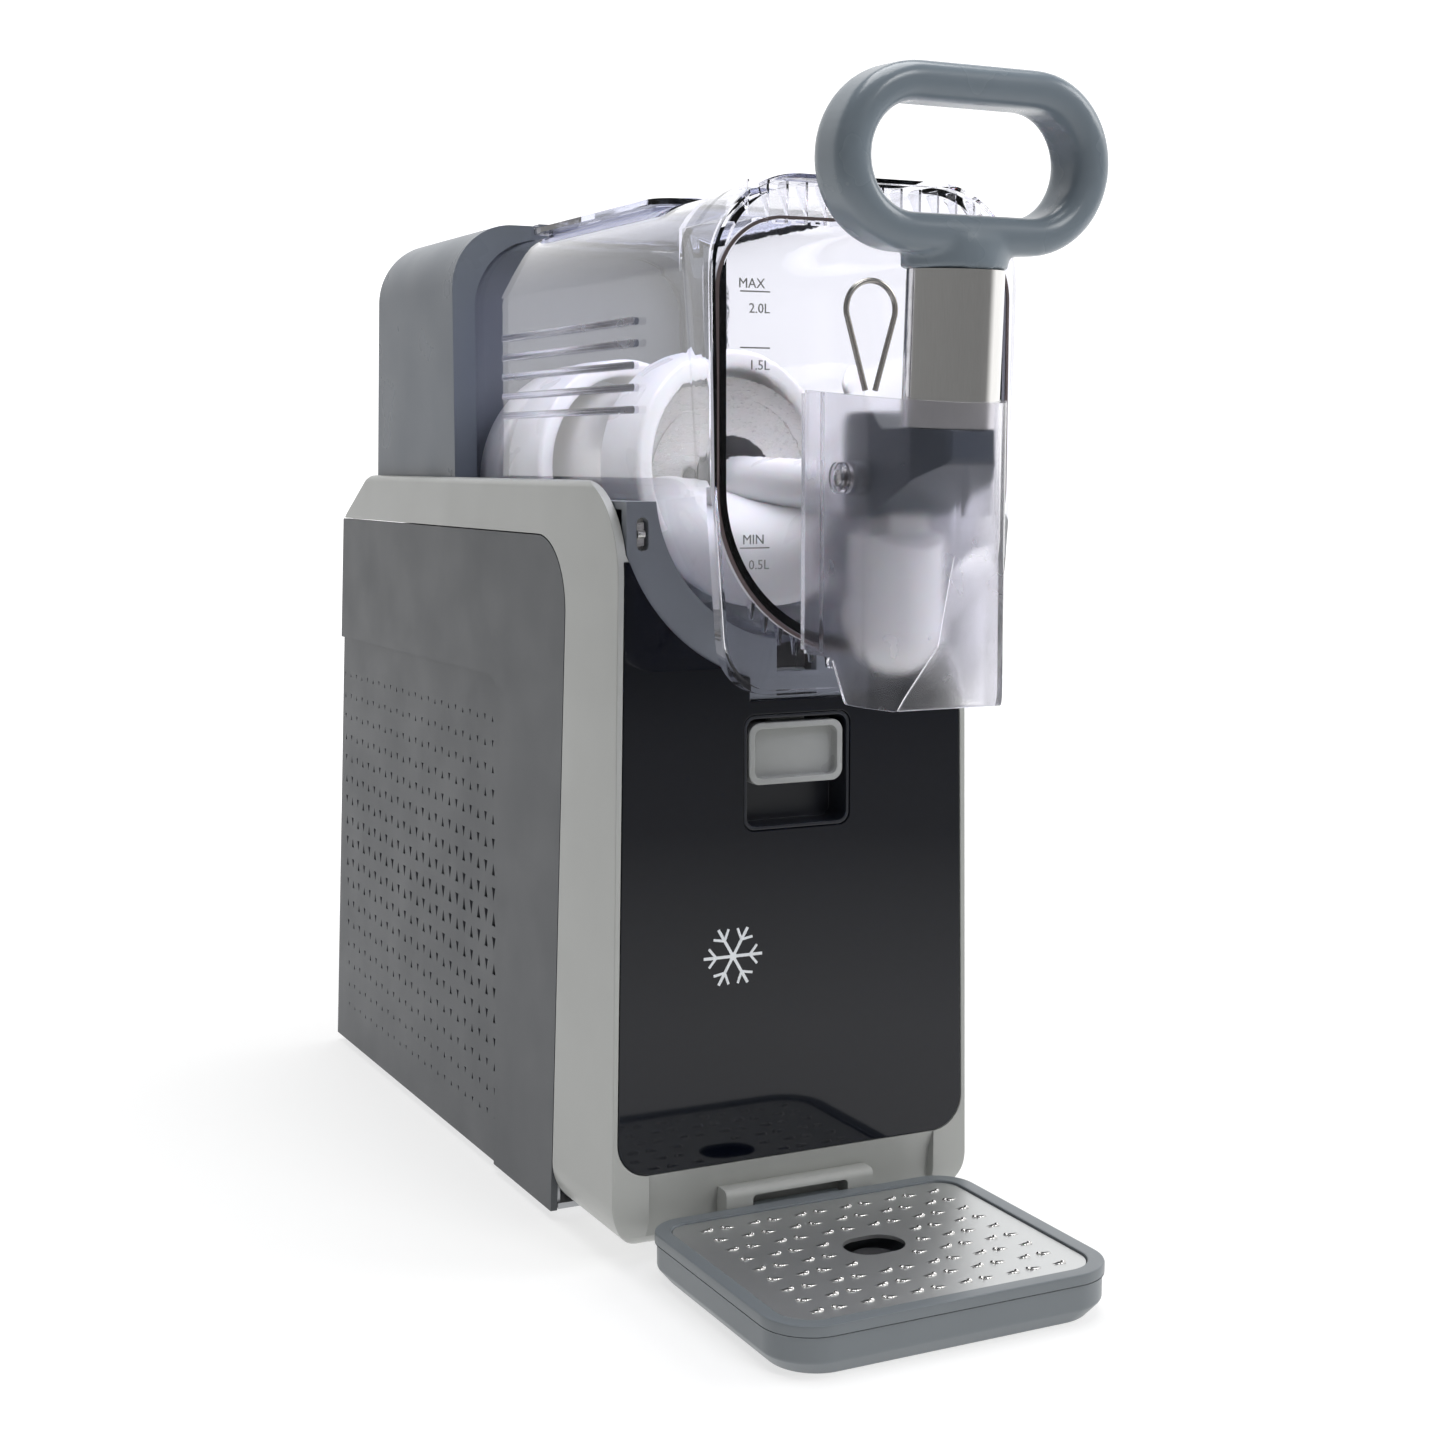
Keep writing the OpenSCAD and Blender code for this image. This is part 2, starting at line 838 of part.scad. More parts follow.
module shroud_side(t)
    rounded([[-53.6 + t, 247.6], [-53.6 + t, 344.2], [-133 + t, 338], [-131 + t, 291], [-126 + t, 255 + 0.3 * t],
        [-113 + 2.8 * t, 231.5 - 3 * t], [-83 + 3 * t, 231.5 - 3 * t], [-73.5 + 3 * t, 247.6 - t * 0.4]],
        [0, 0, 0, 0, 6, 3, 3, 2]);

module shroud_solid(t)
    intersection() {
        translate([0, 0, 200]) linear_extrude(200)
            rounded(mirrored(shroud_pts(t)), doubled([0, 22, 16, 8]));
        along_x(-40, 40)
            union() {
                shroud_side(t);
                if (t > 0)
                    translate([-131.1, 300]) square([94, 80]);
            }
    }

module shroud()
    color([0.85, 0.84, 0.9, 0.6])
    in_frame()
    difference() {
        union() {
            shroud_solid(0);
            for (s = [-1, 1])
                box(s * 27 - 0.9, s * 27 + 0.9, -68, -53.8, 249.2, 343);
            for (s = [-1, 1])
                rod_x(5.6, s * 25.5 - 2.2, s * 25.5 + 2.2, -pivot_reach, pivot_z);
        }
        difference() {
            shroud_solid(1.9);
            for (s = [-1, 1])
                rod_x(5.6, s * 25 - 2.4, s * 25 + 2.4, -pivot_reach, pivot_z);
        }
        box(-24.6, 24.6, -56, -50, 249, 400);
        rod_x(3.05, -40, 40, -pivot_reach, pivot_z);
        rod_y(14, -60, -50, 0, outlet_z);
    }

module handle_pin()
    color("#b0b3b5")
    in_frame()
    rod_x(3, -26.8, 26.8, -pivot_reach, pivot_z);

module at_handle()
    translate([0, -110.3, 330]) rotate([lean, 0, 0]) children();

module valve_lever()
    color("#3f464f")
    in_frame()
    difference() {
        union() {
            intersection() {
                along_x(-17, 17)
                    rounded([[-126.5, 330], [-126.5, 318], [-86, 299], [-70, 297], [-67.5, 303], [-67.5, 336],
                        [-87, 336], [-94, 330]], [2, 4, 6, 3, 3, 5, 5, 0]);
                translate([0, 0, 250]) linear_extrude(200)
                    rounded(mirrored([[17, -60], [17, -114], [9, -127]]), doubled([0, 8, 6]));
            }
            at_handle() cylinder(r = tube_r - 1.3, h = 30);
            rod_x(6, -21.5, 21.5, -pivot_reach, pivot_z);
        }
        rod_x(3.08, -40, 40, -pivot_reach, pivot_z);
        box(-8.3, 8.3, -86.3, -67, 290, 305.3);
        at_handle()
            difference() {
                translate([0, 0, 0.05]) cylinder(r = 40, h = 30);
                translate([0, 0, -1]) cylinder(r = tube_r - 1.3, h = 40);
                translate([-40, 16, -1]) cube([80, 40, 40]);
            }
    }

module valve_block()
    color("#eceeed")
    in_frame()
    difference() {
        union() {
            translate([0, -76.5, 258]) {
                cylinder(r = 17, h = 34);
                sphere(r = 17);
            }
            rod_y(13.5, -66, -61, 0, outlet_z);
            box(-8, 8, -86, -68, 285, 305);
        }
        along_x(-30, 30) polygon([[-100, 283], [-86.5, 291], [-86.5, 320], [-110, 320]]);
        box(-30, 30, -61, -50, 230, 320);
    }

module valve_seal()
    color("#2b2f38")
    in_frame()
    rod_y(12.8, -61, -57.8, 0, outlet_z);

module handle_tube()
    color("#c8cacc")
    in_frame()
    at_handle()
    difference() {
        translate([0, 0, 0.2]) cylinder(r = tube_r, h = 53.6);
        translate([0, 0, -1]) cylinder(r = tube_r - 1.25, h = 60);
    }

module grip_section()
    slab(-grip_t / 2, grip_t / 2, -grip_d / 2, grip_d / 2, 6);

module handle_grip()
    color("#7c8893")
    in_frame()
    at_handle()
    difference() {
        translate([0, -loop_y, 0])
        union() {
            for (s = [0, 1])
                mirror([s, 0, 0])
                translate([23, 0, grip_z])
                rotate([90, 0, 0])
                rotate([0, 0, -90])
                rotate_extrude(angle = 180) translate([24.5, 0]) grip_section();
            for (s = [-1, 1])
                translate([-23, 0, grip_z + s * 24.5]) rotate([90, 0, 90]) linear_extrude(46)
                    rotate(90) grip_section();
            intersection() {
                translate([0, loop_y * 0.5, 53.9]) cylinder(r = 18.7, h = 9.5);
                translate([0, 0, 50]) linear_extrude(20) slab(-30, 30, -13.5, 16.5, 12);
            }
        }
        translate([0, 0, 40]) cylinder(r = tube_r - 1.3, h = 13.9);
    }

module wire_clip()
    color("#8f8c8a")
    in_frame()
    translate([0, face_y - 5.4, 374]) {
        rotate([90, 0, 0]) rotate([0, 0, -12]) rotate_extrude(angle = 204) translate([10.4, 0]) circle(1.1);
        for (s = [-1, 1])
            translate([s * 10.4 * cos(12), 0, -10.4 * sin(12)])
            rotate([0, s * (180 + 16.4), 0])
            cylinder(r = 1.1, h = 28.6);
    }

// ---- drip tray ----

module tray_dock()
    color("#b4b7b4")
    in_frame()
    difference() {
        intersection() {
            along_x(-34, 34) rounded([[-4.6, 12], [6, 12], [6, 26.6], [-4.6, 26.6]], [1, 0, 0, 3]);
            rod_x(45.9, -36, 36, -41.5, 18);
        }
        along_y(-6, 3) slab(-22, 22, 15.4, 23.6, 2);
    }

module tray_outline(g)
    rounded(mirrored([[tray_w / 2 + g, -tray_reach - g], [tray_w / 2 + g, -5.4 + g]]), doubled([20 + g, 16 + g]));

module drip_tray()
    color("#6c7278")
    in_frame()
    difference() {
        union() {
            translate([0, 0, tray_h - 4.4]) linear_extrude(4.4) tray_outline(0);
            linear_extrude(tray_h - 4.3) tray_outline(-0.9);
            box(-20, 20, -6, 2, 15.9, 18.6);
        }
        translate([0, 0, 2.4]) linear_extrude(20) tray_outline(-10);
        translate([0, 0, tray_h - 2.6]) linear_extrude(4) tray_outline(-6.6);
    }

module cover_holes()
    for (i = [0:10])
        for (j = [0:8])
            let (x = -52 + i * 10.4 + (j % 2) * 2, y = -111 + j * 11.2, s = (i + j) % 2 * 180)
            if (norm([x, (y + 63.7) * 1.2]) > 19)
                translate([x, y]) rotate(s) polygon([[-2.6, 0], [1.6, -1.1], [1.6, 1.1]]);

module tray_cover()
    color("#c2c5c6")
    in_frame()
    translate([0, 0, tray_h - 2.5])
    linear_extrude(1.5)
    difference() {
        tray_outline(-7);
        cover_holes();
        translate([0, -63.7]) slab(-12.5, 12.5, -9.5, 9.5, 9.4);
    }

module tray_plug()
    color("#202226")
    in_frame()
    translate([0, -63.7, 2.4]) {
        cylinder(r = 16, h = 2.5);
        translate([0, 0, 2.4]) cylinder(r = 9, h = 9.6);
    }

base_pan();
feet();
trim_shell();
side_panel_left();
side_panel_right();
rear_panel();
rear_screws();
front_panel();
front_mark();
latch_pocket();
tank_latch();
tank_cradle();
interlock_catch();
tray_dock();
rear_column();
bulkhead();
bulkhead_seal();
drum_shell();
drum_end();
drum_coil();
shaft_sleeve();
shaft_seal();
drive_shaft();
auger_ribbon();
auger_blades();
auger_nut();
gearbox();
gear_motor();
compressor();
compressor_mounts();
condenser();
fan_shroud();
fan_blade();
fan_motor();
filter_dryer();
discharge_pipe();
suction_pipe();
control_board();
display_board();
power_inlet();
power_rocker();
tank_shell();
front_gasket();
front_cap();
filler_lid();
lid_pin();
shroud();
handle_pin();
valve_lever();
valve_block();
valve_seal();
handle_tube();
handle_grip();
wire_clip();
drip_tray();
tray_cover();
tray_plug();
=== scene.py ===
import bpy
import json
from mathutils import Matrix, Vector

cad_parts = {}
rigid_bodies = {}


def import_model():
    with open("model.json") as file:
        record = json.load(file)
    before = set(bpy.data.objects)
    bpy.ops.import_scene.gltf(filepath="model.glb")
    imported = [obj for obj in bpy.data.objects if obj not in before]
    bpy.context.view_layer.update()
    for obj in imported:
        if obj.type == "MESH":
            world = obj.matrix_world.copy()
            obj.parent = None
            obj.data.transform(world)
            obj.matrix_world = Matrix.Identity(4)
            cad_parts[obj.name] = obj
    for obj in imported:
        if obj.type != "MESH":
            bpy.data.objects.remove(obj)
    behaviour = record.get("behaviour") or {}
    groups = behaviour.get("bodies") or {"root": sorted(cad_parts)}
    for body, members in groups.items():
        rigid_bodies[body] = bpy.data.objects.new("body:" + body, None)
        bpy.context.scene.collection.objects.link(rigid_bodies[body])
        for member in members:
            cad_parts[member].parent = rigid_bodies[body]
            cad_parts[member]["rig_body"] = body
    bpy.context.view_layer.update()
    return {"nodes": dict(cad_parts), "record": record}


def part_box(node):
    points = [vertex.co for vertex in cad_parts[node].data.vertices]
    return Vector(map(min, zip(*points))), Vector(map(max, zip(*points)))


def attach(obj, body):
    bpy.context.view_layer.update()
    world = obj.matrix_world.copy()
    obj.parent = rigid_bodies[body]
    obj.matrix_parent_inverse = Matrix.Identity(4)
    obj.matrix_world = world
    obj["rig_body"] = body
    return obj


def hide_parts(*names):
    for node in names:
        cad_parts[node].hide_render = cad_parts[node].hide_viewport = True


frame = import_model()

import json
from math import cos, pi, radians, sin

import bmesh
import bpy
from mathutils import Matrix, Vector

nodes = frame["nodes"]
scene = bpy.context.scene
slot_of = {part["node"]: part["material_slot"] for part in frame["record"]["subparts"]}

MM = 0.001
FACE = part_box("front_panel")[0].y
CAP_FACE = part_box("front_cap")[1].y - 3.5 * MM
LEAN = Matrix.Translation((0, FACE - 110.3 * MM, 330 * MM)) @ Matrix.Rotation(radians(3.1), 4, "X")


# ---- materials ----

def finish(name, colour, rough, **sockets):
    """A material with its plain values on the Principled shader"""
    material = bpy.data.materials.new(name)
    material.use_nodes = True
    shader = material.node_tree.nodes["Principled BSDF"]
    shader.inputs["Base Color"].default_value = (*colour, 1)
    shader.inputs["Roughness"].default_value = rough
    for socket, value in sockets.items():
        shader.inputs[socket.replace("_", " ")].default_value = value
    return material


def shader_of(material):
    return material.node_tree.nodes["Principled BSDF"]


def cloud(material, scale, detail=3, stretch=(1, 1, 1)):
    """Noise fixed to the piece, stretched along an axis where the finish has a direction"""
    tree = material.node_tree
    coords = tree.nodes.new("ShaderNodeTexCoord")
    mapping = tree.nodes.new("ShaderNodeMapping")
    mapping.inputs["Scale"].default_value = stretch
    noise = tree.nodes.new("ShaderNodeTexNoise")
    noise.inputs["Scale"].default_value = scale
    noise.inputs["Detail"].default_value = detail
    tree.links.new(coords.outputs["Object"], mapping.inputs["Vector"])
    tree.links.new(mapping.outputs["Vector"], noise.inputs["Vector"])
    return noise.outputs["Fac"]


def mottle(material, amount, scale, stretch=(1, 1, 1)):
    """Slow drift of the base colour, lighter and darker by the same share"""
    tree = material.node_tree
    colour = shader_of(material).inputs["Base Color"].default_value[:3]
    ramp = tree.nodes.new("ShaderNodeValToRGB")
    ramp.color_ramp.elements[0].position = 0.3
    ramp.color_ramp.elements[1].position = 0.7
    ramp.color_ramp.elements[0].color = (*[c * (1 - amount) for c in colour], 1)
    ramp.color_ramp.elements[1].color = (*[min(1, c * (1 + amount)) for c in colour], 1)
    tree.links.new(cloud(material, scale, 4, stretch), ramp.inputs["Fac"])
    tree.links.new(ramp.outputs["Color"], shader_of(material).inputs["Base Color"])


def patchy_gloss(material, spread, scale, stretch=(1, 1, 1)):
    """Roughness that wanders, as handled plastic and rolled metal do"""
    tree = material.node_tree
    rough = shader_of(material).inputs["Roughness"].default_value
    span = tree.nodes.new("ShaderNodeMapRange")
    span.inputs["From Min"].default_value = 0.3
    span.inputs["From Max"].default_value = 0.7
    span.inputs["To Min"].default_value = max(0.01, rough - spread)
    span.inputs["To Max"].default_value = rough + spread
    tree.links.new(cloud(material, scale, 3, stretch), span.inputs["Value"])
    tree.links.new(span.outputs["Result"], shader_of(material).inputs["Roughness"])


def grain(material, depth, scale, stretch=(1, 1, 1), detail=2):
    """Fine relief of the moulded or brushed surface"""
    tree = material.node_tree
    bump = tree.nodes.new("ShaderNodeBump")
    bump.inputs["Strength"].default_value = 1
    bump.inputs["Distance"].default_value = depth
    tree.links.new(cloud(material, scale, detail, stretch), bump.inputs["Height"])
    tree.links.new(bump.outputs["Normal"], shader_of(material).inputs["Normal"])


def moulded(name, colour, rough, depth=0.00002, scale=2600, **sockets):
    """Opaque injection-moulded plastic"""
    material = finish(name, colour, rough, **sockets)
    mottle(material, 0.03, 14)
    patchy_gloss(material, 0.04, 30)
    grain(material, depth, scale)
    return material


def lamp_lets_through(material, shade):
    """Light from the lamps passes this clear plastic, so that what it encloses isn't in the dark"""
    tree = material.node_tree
    output = tree.nodes["Material Output"]
    path = tree.nodes.new("ShaderNodeLightPath")
    passing = tree.nodes.new("ShaderNodeBsdfTransparent")
    passing.inputs["Color"].default_value = (*shade, 1)
    mix = tree.nodes.new("ShaderNodeMixShader")
    tree.links.new(path.outputs["Is Shadow Ray"], mix.inputs["Fac"])
    tree.links.new(shader_of(material).outputs["BSDF"], mix.inputs[1])
    tree.links.new(passing.outputs["BSDF"], mix.inputs[2])
    tree.links.new(mix.outputs["Shader"], output.inputs["Surface"])


def grey_plastic():
    """Warm light grey frame of the cabinet"""
    return moulded("grey plastic", (0.430, 0.438, 0.420), 0.32, 0.000008, 1800)


def dark_plastic():
    """Dark grey side and rear panels, satin with a fine spark grain"""
    return moulded("dark plastic", (0.092, 0.098, 0.106), 0.45, 0.00003, 2400, Specular_IOR_Level=0.3)


def black_gloss():
    """Polished near-black front panel"""
    material = finish("black gloss", (0.0022, 0.0032, 0.0070), 0.05, Specular_IOR_Level=0.40)
    mottle(material, 0.2, 5)
    patchy_gloss(material, 0.015, 12)
    grain(material, 0.000015, 14)
    return material


def mark_white():
    """Printed white marks"""
    material = finish("mark white", (0.82, 0.85, 0.87), 0.45)
    mottle(material, 0.04, 60)
    patchy_gloss(material, 0.05, 90)
    return material


def mark_grey():
    """Grey printing ink"""
    material = finish("mark grey", (0.22, 0.22, 0.22), 0.5)
    mottle(material, 0.05, 60)
    patchy_gloss(material, 0.05, 90)
    return material


def pocket_black():
    return moulded("pocket black", (0.010, 0.012, 0.018), 0.32, 0.00001, 1800)


def latch_grey():
    return moulded("latch grey", (0.36, 0.37, 0.36), 0.30, 0.000008, 1800)


def cradle_grey():
    """Grey cradle under the tank"""
    return moulded("cradle grey", (0.175, 0.190, 0.215), 0.36, 0.00001, 2000)


def column_blue():
    """Blue-grey column behind the tank, its top glossy"""
    return moulded("column blue", (0.165, 0.185, 0.215), 0.30, 0.000008, 1600, Specular_IOR_Level=0.12)


def rubber_black():
    return moulded("rubber black", (0.020, 0.020, 0.022), 0.62, 0.00004, 2000)


def rubber_brown():
    """Dark brown gasket round the cap"""
    return moulded("rubber brown", (0.115, 0.085, 0.085), 0.45, 0.00002, 1800)


def painted_light_gasket():
    """Pale finish for the gasket's body as painted light: the band seen through the clear rim shows light
    instead of the gasket's shaded brown side
    """
    return moulded("gasket painted light", (0.70, 0.70, 0.75), 0.5, 0.00002, 1800)


def rubber_grey():
    return moulded("rubber grey", (0.13, 0.14, 0.15), 0.55, 0.00003, 1800)


def clear_tank():
    """Clear tank plastic with a faint lilac tint"""
    material = finish("clear tank", (0.885, 0.885, 0.93), 0.02, Transmission_Weight=1.0, IOR=1.12,
        Coat_Weight=0.6, Coat_Roughness=0.03)
    patchy_gloss(material, 0.012, 16)
    grain(material, 0.00004, 34, detail=1)
    lamp_lets_through(material, (0.92, 0.92, 0.95))
    return material


def clear_cap():
    """Clear cap plastic, a little cloudy with cold"""
    material = finish("clear cap", (0.93, 0.93, 0.96), 0.06, Transmission_Weight=1.0, IOR=1.10,
        Coat_Weight=0.5, Coat_Roughness=0.05)
    patchy_gloss(material, 0.04, 45)
    grain(material, 0.00008, 300, detail=3)
    lamp_lets_through(material, (0.90, 0.90, 0.93))
    return material


def smoked_lid():
    """Clear lid with a deeper blue tint"""
    material = finish("lid tint", (0.72, 0.74, 0.90), 0.05, Transmission_Weight=1.0, IOR=1.45)
    patchy_gloss(material, 0.02, 20)
    grain(material, 0.00004, 40, detail=1)
    lamp_lets_through(material, (0.80, 0.80, 0.90))
    return material


def frosted():
    """Frosted lilac-grey shroud"""
    material = finish("frosted", (0.91, 0.905, 0.945), 0.24, Transmission_Weight=1.0, IOR=1.33)
    patchy_gloss(material, 0.04, 60)
    grain(material, 0.00003, 1500)
    lamp_lets_through(material, (0.80, 0.80, 0.86))
    return material


def white_plastic():
    """Food-safe white auger plastic that light sinks into a little"""
    material = finish("white plastic", (0.80, 0.80, 0.80), 0.30,
        Subsurface_Weight=0.15, Subsurface_Scale=0.004)
    mottle(material, 0.02, 22)
    patchy_gloss(material, 0.05, 40)
    grain(material, 0.00002, 900)
    return material


def brushed(name, colour, rough, stretch, depth=0.00002, scale=500, **sockets):
    """Metal with its brushing drawn out along one axis"""
    material = finish(name, colour, rough, Metallic=1.0, **sockets)
    mottle(material, 0.03, scale, stretch)
    patchy_gloss(material, 0.04, scale, stretch)
    grain(material, depth, scale * 2, stretch)
    return material


def steel():
    """Satin steel of the drum"""
    return brushed("steel", (0.62, 0.61, 0.58), 0.30, (1, 6, 6), 0.000008)


def chrome_tube():
    """Polished handle tube with faint lengthwise drawing lines"""
    return brushed("chrome tube", (0.76, 0.75, 0.73), 0.12, (6, 6, 0.2), 0.0000015)


def cover_steel():
    """Rolled steel cover of the drip tray"""
    return brushed("cover steel", (0.66, 0.67, 0.67), 0.42, (1, 12, 1), 0.000006)


def wire_steel():
    return brushed("wire steel", (0.42, 0.40, 0.38), 0.22, (3, 3, 3), 0.000004)


def lever_grey():
    return moulded("lever grey", (0.050, 0.062, 0.080), 0.35, 0.00001, 1800)


def grip_blue():
    """Blue-grey satin handle"""
    return moulded("grip blue", (0.195, 0.235, 0.272), 0.27, 0.000012, 2200)


def tray_grey():
    return moulded("tray grey", (0.175, 0.195, 0.210), 0.34, 0.000015, 2200)


def zinc():
    return brushed("zinc", (0.50, 0.51, 0.53), 0.42, (1, 1, 1), 0.00001, 120)


def black_metal():
    return moulded("black metal", (0.018, 0.019, 0.022), 0.36, 0.00003, 900)


def aluminium():
    return brushed("aluminium", (0.72, 0.73, 0.74), 0.36, (1, 1, 8), 0.00001, 300)


def copper():
    return brushed("copper", (0.78, 0.40, 0.24), 0.30, (1, 1, 1), 0.00001, 160)


def board():
    """Green circuit board"""
    return moulded("board", (0.016, 0.090, 0.045), 0.40, 0.00002, 500)


MAKERS = [grey_plastic, dark_plastic, black_gloss, mark_white, pocket_black, latch_grey, cradle_grey,
    column_blue, rubber_black, rubber_brown, rubber_grey, clear_tank, frosted, white_plastic, steel,
    chrome_tube, wire_steel, lever_grey, grip_blue, tray_grey, zinc, black_metal, aluminium, copper, board]
EXTRA_MAKERS = [clear_cap, smoked_lid, cover_steel, painted_light_gasket, mark_grey]
finishes = {maker.__name__: maker() for maker in MAKERS + EXTRA_MAKERS}

OWN_FINISH = {"front_cap": "clear_cap", "filler_lid": "smoked_lid", "tray_cover": "cover_steel"}


# ---- making pieces ----

def piece_from(bm, name, body, slot, look=None, angle=35):
    """An object at the origin from a finished bmesh, riding on its body"""
    mesh = bpy.data.meshes.new(name)
    bm.to_mesh(mesh)
    bm.free()
    if mesh.attributes.get("custom_normal"):
        mesh.attributes.remove(mesh.attributes["custom_normal"])
    mesh.shade_smooth()
    mesh.set_sharp_from_angle(angle=radians(angle))
    mesh.materials.clear()
    mesh.materials.append(finishes[look or slot])
    for face in mesh.polygons:
        face.material_index = 0
    piece = bpy.data.objects.new(name, mesh)
    scene.collection.objects.link(piece)
    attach(piece, body)
    return piece


def keep_flats_flat(piece):
    """Shading weighted by face size, so that broad faces stay flat beside their rounded edges"""
    weighted = piece.modifiers.new("flats", "WEIGHTED_NORMAL")
    weighted.keep_sharp = True


def merged_copy(node):
    """A copy of a CAD node's mesh with its loose triangles joined into whole faces"""
    bm = bmesh.new()
    bm.from_mesh(nodes[node].data)
    bmesh.ops.remove_doubles(bm, verts=bm.verts, dist=0.000002)
    bmesh.ops.dissolve_limit(bm, angle_limit=radians(0.4), verts=bm.verts, edges=bm.edges,
        use_dissolve_boundaries=False)
    return bm


def stand_in(bm, node, ending, angle):
    """A piece that stands for a CAD node, with that node's body, slot and finish"""
    return piece_from(bm, node + ending, nodes[node]["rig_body"], slot_of[node], OWN_FINISH.get(node), angle)


def soften(node, width, segments=2, sharp=32, angle=35, shape=None):
    """The CAD node's shape with its hard edges rounded over"""
    bm = merged_copy(node)
    if shape:
        shape(bm)
    edges = [e for e in bm.edges if e.is_manifold and e.calc_face_angle(0) > radians(sharp)]
    bmesh.ops.bevel(bm, geom=edges, offset=width, offset_type="OFFSET", segments=segments, profile=0.5,
        affect="EDGES", material=-1, clamp_overlap=False)
    piece = stand_in(bm, node, "_soft", angle)
    keep_flats_flat(piece)
    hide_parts(node)
    return piece


def smoothed(node, angle=40, shape=None):
    """The CAD node's shape, shaded smooth across its facets"""
    bm = merged_copy(node)
    if shape:
        shape(bm)
    piece = stand_in(bm, node, "_smooth", angle)
    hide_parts(node)
    return piece


def dress_frame():
    """Every CAD node gets the finish of its slot"""
    for name, node in nodes.items():
        node.data.materials.clear()
        node.data.materials.append(finishes[OWN_FINISH.get(name, slot_of[name])])


def block(bm, low, high):
    """A box between two corners, in millimetres from the front panel's face"""
    low = Vector(low) * MM
    high = Vector(high) * MM
    made = bmesh.ops.create_cube(bm, size=1)["verts"]
    bmesh.ops.scale(bm, vec=high - low, verts=made)
    bmesh.ops.translate(bm, vec=(low + high) / 2 + Vector((0, FACE, 0)), verts=made)
    return made


def round_edges(bm, width, segments=2, sharp=50):
    edges = [e for e in bm.edges if e.is_manifold and e.calc_face_angle(0) > radians(sharp)]
    bmesh.ops.bevel(bm, geom=edges, offset=width, segments=segments, profile=0.5, affect="EDGES",
        material=-1, clamp_overlap=True)


# ---- handle ----

def handle_loop(bm):
    """Closed loop of rounded bar, in the handle's own leaning frame"""
    reach, bar, deep, centre = 24.5 * MM, 13 * MM, 25 * MM, 90 * MM
    half_straight, forward = 23 * MM, 2.6 * MM
    made = bmesh.ops.create_grid(bm, x_segments=1, y_segments=1, size=0.5)["verts"]
    bmesh.ops.scale(bm, vec=(bar, deep, 1), verts=made)
    bmesh.ops.bevel(bm, geom=made, offset=6.2 * MM, segments=6, profile=0.5, affect="VERTICES",
        material=-1, clamp_overlap=True)
    bmesh.ops.delete(bm, geom=bm.faces[:], context="FACES_ONLY")
    bmesh.ops.rotate(bm, cent=(0, 0, 0), matrix=Matrix.Rotation(radians(90), 3, "Y"), verts=bm.verts)
    bmesh.ops.translate(bm, vec=(half_straight, -forward, centre + reach), verts=bm.verts)
    ring = bm.edges[:]
    for side in (1, -1):
        turned = bmesh.ops.spin(bm, geom=ring, cent=(side * half_straight, 0, centre), axis=(0, 1, 0),
            angle=pi, steps=28)["geom_last"]
        ring = [g for g in turned if isinstance(g, bmesh.types.BMEdge)]
        grown = bmesh.ops.extrude_edge_only(bm, edges=ring)["geom"]
        moved = [g for g in grown if isinstance(g, bmesh.types.BMVert)]
        bmesh.ops.translate(bm, vec=(-side * 2 * half_straight, 0, 0), verts=moved)
        edges = [g for g in grown if isinstance(g, bmesh.types.BMEdge)]
        ring = [e for e in edges if all(v in moved for v in e.verts)]
    bmesh.ops.remove_doubles(bm, verts=bm.verts, dist=0.00001)


def handle_neck(bm):
    """Collar that flares from the tube into the loop's lower bar: height, half width, half depth, shift"""
    rings = ((53.9, 18.6, 18.0, 1.3), (58.5, 19.0, 17.6, 0.8), (61.5, 21.5, 16.4, 0), (63.5, 26, 15.2, -1),
        (65.5, 33, 13.4, -2), (67.5, 40, 10.5, -2.6))
    made = bmesh.ops.create_circle(bm, cap_ends=True, segments=56, radius=1)["verts"]
    face = made[0].link_faces[0]
    first = rings[0]
    bmesh.ops.scale(bm, vec=(first[1] * MM, first[2] * MM, 1), verts=made)
    bmesh.ops.translate(bm, vec=(0, first[3] * MM, first[0] * MM), verts=made)
    last = first
    for ring in rings[1:]:
        grown = bmesh.ops.extrude_face_region(bm, geom=[face])["geom"]
        face = [g for g in grown if isinstance(g, bmesh.types.BMFace)][0]
        verts = list(face.verts)
        bmesh.ops.translate(bm, vec=(0, -last[3] * MM, (ring[0] - last[0]) * MM), verts=verts)
        bmesh.ops.scale(bm, vec=(ring[1] / last[1], ring[2] / last[2], 1), verts=verts)
        bmesh.ops.translate(bm, vec=(0, ring[3] * MM, 0), verts=verts)
        last = ring


def handle_grip():
    """Loop and neck grown together with soft fillets"""
    bm = bmesh.new()
    handle_loop(bm)
    handle_neck(bm)
    bmesh.ops.recalc_face_normals(bm, faces=bm.faces)
    bmesh.ops.transform(bm, matrix=LEAN, verts=bm.verts)
    piece = piece_from(bm, "handle_grip_blended", "handle", "grip_blue", angle=180)
    grown = piece.modifiers.new("grown together", "REMESH")
    grown.mode = "VOXEL"
    grown.voxel_size = 1.0 * MM
    grown.use_smooth_shade = True
    eased = piece.modifiers.new("fillets", "SMOOTH")
    eased.factor = 0.5
    eased.iterations = 10
    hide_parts("handle_grip")


# ---- auger ----

AXIS = Vector((0, 0, 309 * MM))
BAND_INNER = 48
BAND_OUTER = 55.6
BAND_PITCH = 106
BAND_TURN = 486


def around_axis(angle):
    """Turn about the drum's axis that carries the top towards the right"""
    return Matrix.Rotation(radians(angle), 3, "Y")


